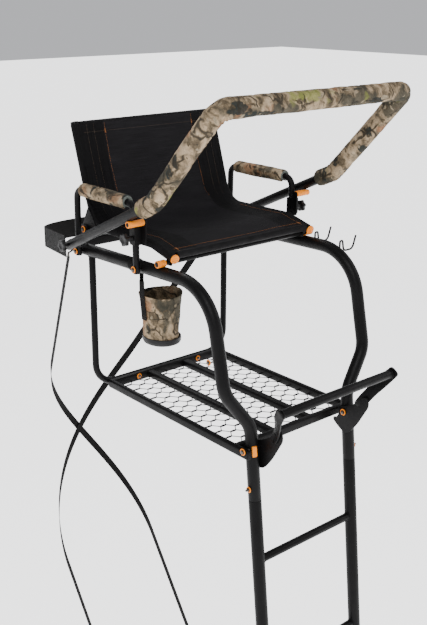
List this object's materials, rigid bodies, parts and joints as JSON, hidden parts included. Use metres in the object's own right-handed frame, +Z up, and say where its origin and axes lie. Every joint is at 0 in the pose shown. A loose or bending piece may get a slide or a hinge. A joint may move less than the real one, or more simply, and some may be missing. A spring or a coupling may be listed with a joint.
{
  "type": "ladder tree stand",
  "caption": "Sectional ladder stand with a bowed seat frame, sling seat, mesh platform, fold-up footrest and padded flip-back shooting rail, strapped to a trunk.",
  "frame": {"origin": "middle of the tree brace, at the height of the main rails, where the trunk carries the stand; the platform is 467 mm below it and the feet are on the ground below", "axes": "+Z up, the sitter faces -Y, the trunk is at +Y, +X is the sitter's left"},
  "size_m": [0.7746, 1.6585, 4.5241],
  "materials": {
    "black_powder_coat": "satin powder coat on steel tube",
    "zinc_steel": "dulled zinc with a copper tint",
    "orange_grip": "satin moulded vinyl",
    "camo_fabric": "brushed camouflage cloth over foam",
    "sling_fabric": "coarse coated mesh weave with orange stitching",
    "black_webbing": "woven polyester webbing",
    "black_plastic": "fine textured plastic"
  },
  "bodies": {
    "stand": {"left_main_rail": "black_powder_coat", "right_main_rail": "black_powder_coat", "upper_ladder_section": "black_powder_coat", "middle_ladder_section": "black_powder_coat", "lower_ladder_section": "black_powder_coat", "left_ladder_bolt": "zinc_steel", "right_ladder_bolt": "zinc_steel", "rear_frame_tube": "black_powder_coat", "tree_brace": "black_powder_coat", "platform_frame": "black_powder_coat", "left_deck_mesh": "black_powder_coat", "middle_deck_mesh": "black_powder_coat", "right_deck_mesh": "black_powder_coat", "left_platform_bolt": "zinc_steel", "right_platform_bolt": "zinc_steel", "left_footrest_bolt": "zinc_steel", "right_footrest_bolt": "zinc_steel", "left_seat_bolt": "zinc_steel", "right_seat_bolt": "zinc_steel", "left_armrest": "black_powder_coat", "left_armrest_rear_bolt": "zinc_steel", "left_armrest_front_bolt": "zinc_steel", "left_arm_pad": "camo_fabric", "right_armrest": "black_powder_coat", "right_armrest_rear_bolt": "zinc_steel", "right_armrest_front_bolt": "zinc_steel", "right_arm_pad": "camo_fabric", "cup_holder": "camo_fabric", "cup_holder_base": "black_plastic", "cup_holder_strap": "black_webbing", "rear_accessory_hook": "black_powder_coat", "front_accessory_hook": "black_powder_coat", "tree_strap": "black_webbing", "left_stabilizer_strap": "black_webbing", "right_stabilizer_strap": "black_webbing", "ratchet_frame": "zinc_steel"},
    "footrest": {"left_footrest_plate": "black_powder_coat", "right_footrest_plate": "black_powder_coat", "footrest_bar": "black_powder_coat"},
    "seat": {"left_seat_tube": "black_powder_coat", "right_seat_tube": "black_powder_coat", "left_seat_cap": "orange_grip", "right_seat_cap": "orange_grip", "seat_front_bar": "black_powder_coat", "seat_top_bar": "black_powder_coat", "sling": "sling_fabric", "seat_rest_bar": "black_powder_coat", "left_seat_rest_sleeve": "orange_grip", "right_seat_rest_sleeve": "orange_grip"},
    "rail": {"shooting_rail": "black_powder_coat", "shooting_rail_pad": "camo_fabric"},
    "left_rest": {"left_rail_rest": "black_powder_coat", "left_rail_rest_sleeve": "orange_grip"},
    "right_rest": {"right_rail_rest": "black_powder_coat", "right_rail_rest_sleeve": "orange_grip"},
    "left_rest_knob": {"left_rest_knob": "black_plastic"},
    "right_rest_knob": {"right_rest_knob": "black_plastic"},
    "left_pivot_knob": {"left_pivot_knob": "black_plastic"},
    "right_pivot_knob": {"right_pivot_knob": "black_plastic"},
    "ratchet_lever": {"ratchet_lever": "zinc_steel"}
  },
  "joints": [
    {"name": "footrest_fold", "type": "hinge", "parent": "stand", "child": "footrest", "pos_m": [0, -0.808, -0.457], "axis": [-1, 0, 0], "range_deg": [0, 105]},
    {"name": "seat_tip", "type": "hinge", "parent": "stand", "child": "seat", "pos_m": [0, -0.12, 0.06], "axis": [-1, 0, 0], "range_deg": [0, 12]},
    {"name": "rail_flip", "type": "hinge", "parent": "stand", "child": "rail", "pos_m": [0, -0.134, 0.024], "axis": [-1, 0, 0], "range_deg": [0, 60]},
    {"name": "left_rest_slide", "type": "slide", "parent": "stand", "child": "left_rest", "axis": [0, 0, 1], "range_m": [-0.04, 0]},
    {"name": "right_rest_slide", "type": "slide", "parent": "stand", "child": "right_rest", "axis": [0, 0, 1], "range_m": [-0.04, 0]},
    {"name": "left_rest_knob_turn", "type": "hinge", "parent": "left_rest", "child": "left_rest_knob", "pos_m": [0.34, -0.425, 0.0955], "axis": [1, 0, 0], "continuous": true},
    {"name": "right_rest_knob_turn", "type": "hinge", "parent": "right_rest", "child": "right_rest_knob", "pos_m": [-0.34, -0.425, 0.0955], "axis": [-1, 0, 0], "continuous": true},
    {"name": "left_pivot_knob_turn", "type": "hinge", "parent": "stand", "child": "left_pivot_knob", "pos_m": [0.367, -0.134, 0.024], "axis": [1, 0, 0], "continuous": true},
    {"name": "right_pivot_knob_turn", "type": "hinge", "parent": "stand", "child": "right_pivot_knob", "pos_m": [-0.367, -0.134, 0.024], "axis": [-1, 0, 0], "continuous": true},
    {"name": "ratchet_lever_swing", "type": "hinge", "parent": "stand", "child": "ratchet_lever", "pos_m": [0.27102, 0.11093, -0.03388], "axis": [0.0511, -0.1395, -0.9889], "range_deg": [0, 150]}
  ]
}
